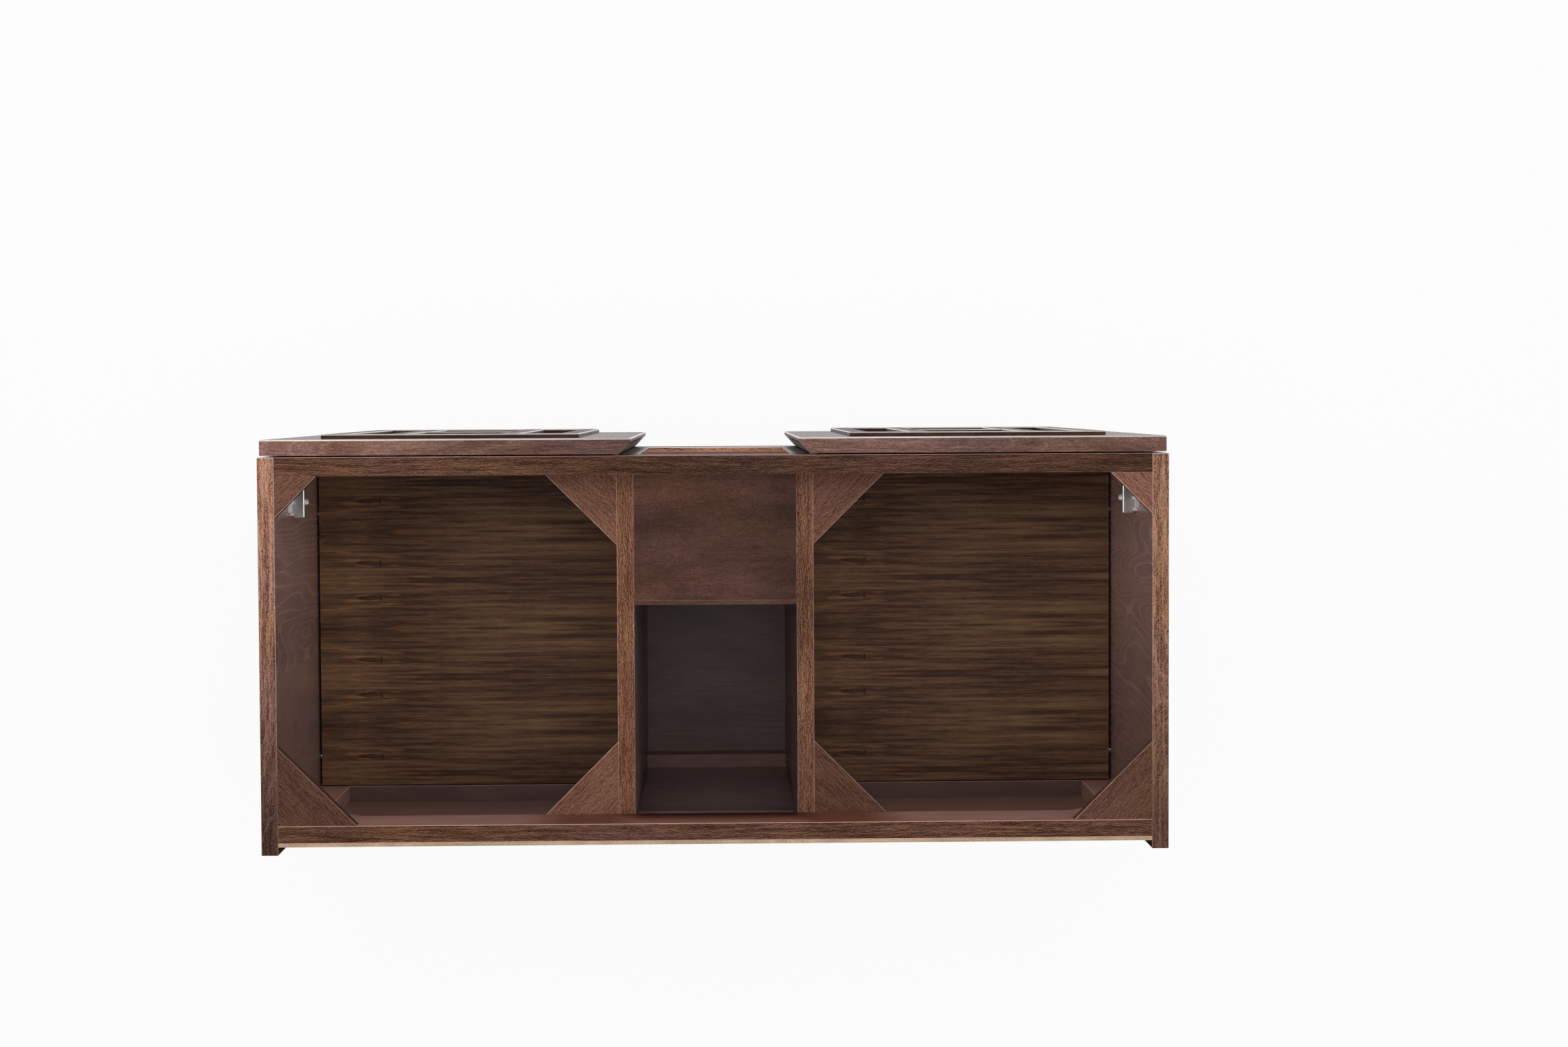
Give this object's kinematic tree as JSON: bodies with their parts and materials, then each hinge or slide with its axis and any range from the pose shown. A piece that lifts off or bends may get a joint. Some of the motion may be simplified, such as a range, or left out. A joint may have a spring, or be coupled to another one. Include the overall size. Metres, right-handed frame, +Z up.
{
  "type": "vanity cabinet",
  "caption": "Wooden bathroom vanity cabinet without its top: open sink bays with shelves beside an open centre niche and plumbing hollow, fret-fronted doors on concealed hinges.",
  "frame": {"origin": "on the floor, under the middle of the object's outer box", "axes": "+X to the right seen from the front, +Y from the doors to the wall, +Z up"},
  "size_m": [1.2, 0.554, 0.864],
  "materials": {
    "outer_walnut": "walnut stain, satin lacquer",
    "inner_walnut": "walnut stain, satin lacquer",
    "shelf_walnut": "walnut stain, satin lacquer",
    "door_walnut": "walnut stain, satin lacquer",
    "back_plywood": "thin plywood with raw edges",
    "nickel_steel": "bright nickel plate",
    "glide_plastic": "black moulded",
    "bumper_rubber": "soft translucent grey"
  },
  "bodies": {
    "carcass": {"back_foot_rail": "inner_walnut", "back_mid_rail_left": "inner_walnut", "back_mid_rail_right": "inner_walnut", "back_panel": "back_plywood", "back_post_left": "inner_walnut", "back_post_right": "inner_walnut", "back_top_rail": "inner_walnut", "bottom_panel": "inner_walnut", "floor_glides": "glide_plastic", "front_bottom_rail": "outer_walnut", "front_top_rail": "outer_walnut", "gusset_back_inner_left": "inner_walnut", "gusset_back_inner_right": "inner_walnut", "gusset_back_outer_left": "inner_walnut", "gusset_back_outer_right": "inner_walnut", "gusset_front_inner_left": "inner_walnut", "gusset_front_inner_right": "inner_walnut", "gusset_front_outer_left": "inner_walnut", "gusset_front_outer_right": "inner_walnut", "hinge_arm_screws_left": "nickel_steel", "hinge_arm_screws_right": "nickel_steel", "hinge_arms_left": "nickel_steel", "hinge_arms_right": "nickel_steel", "hinge_plate_screws_left": "nickel_steel", "hinge_plate_screws_right": "nickel_steel", "hinge_plates_left": "nickel_steel", "hinge_plates_right": "nickel_steel", "hollow_back": "inner_walnut", "hollow_post_left": "inner_walnut", "hollow_post_right": "inner_walnut", "niche_apron": "outer_walnut", "niche_back": "inner_walnut", "niche_floor": "inner_walnut", "niche_shelf": "shelf_walnut", "niche_shelf_pins": "nickel_steel", "niche_stile_left": "outer_walnut", "niche_stile_right": "outer_walnut", "niche_top": "inner_walnut", "partition_left": "inner_walnut", "partition_right": "inner_walnut", "shelf_left": "shelf_walnut", "shelf_pins_left": "nickel_steel", "shelf_pins_right": "nickel_steel", "shelf_right": "shelf_walnut", "side_panel_left": "outer_walnut", "side_panel_right": "outer_walnut"},
    "left_door": {"door_bumpers_left": "bumper_rubber", "door_left": "door_walnut", "fret_bars_left": "door_walnut", "fret_crossbar_left": "door_walnut", "fret_rails_left": "door_walnut", "hinge_cup_screws_left": "nickel_steel", "hinge_cups_left": "nickel_steel", "hinge_pins_left": "nickel_steel"},
    "right_door": {"door_bumpers_right": "bumper_rubber", "door_right": "door_walnut", "fret_bars_right": "door_walnut", "fret_crossbar_right": "door_walnut", "fret_rails_right": "door_walnut", "hinge_cup_screws_right": "nickel_steel", "hinge_cups_right": "nickel_steel", "hinge_pins_right": "nickel_steel"}
  },
  "joints": [
    {"name": "left_door_hinge", "type": "hinge", "parent": "carcass", "child": "left_door", "pos_m": [-0.5903, -0.2605, 0.4675], "axis": [0, 0, -1], "range_deg": [0, 100]},
    {"name": "right_door_hinge", "type": "hinge", "parent": "carcass", "child": "right_door", "pos_m": [0.5903, -0.2605, 0.4675], "axis": [0, 0, 1], "range_deg": [0, 100]}
  ]
}
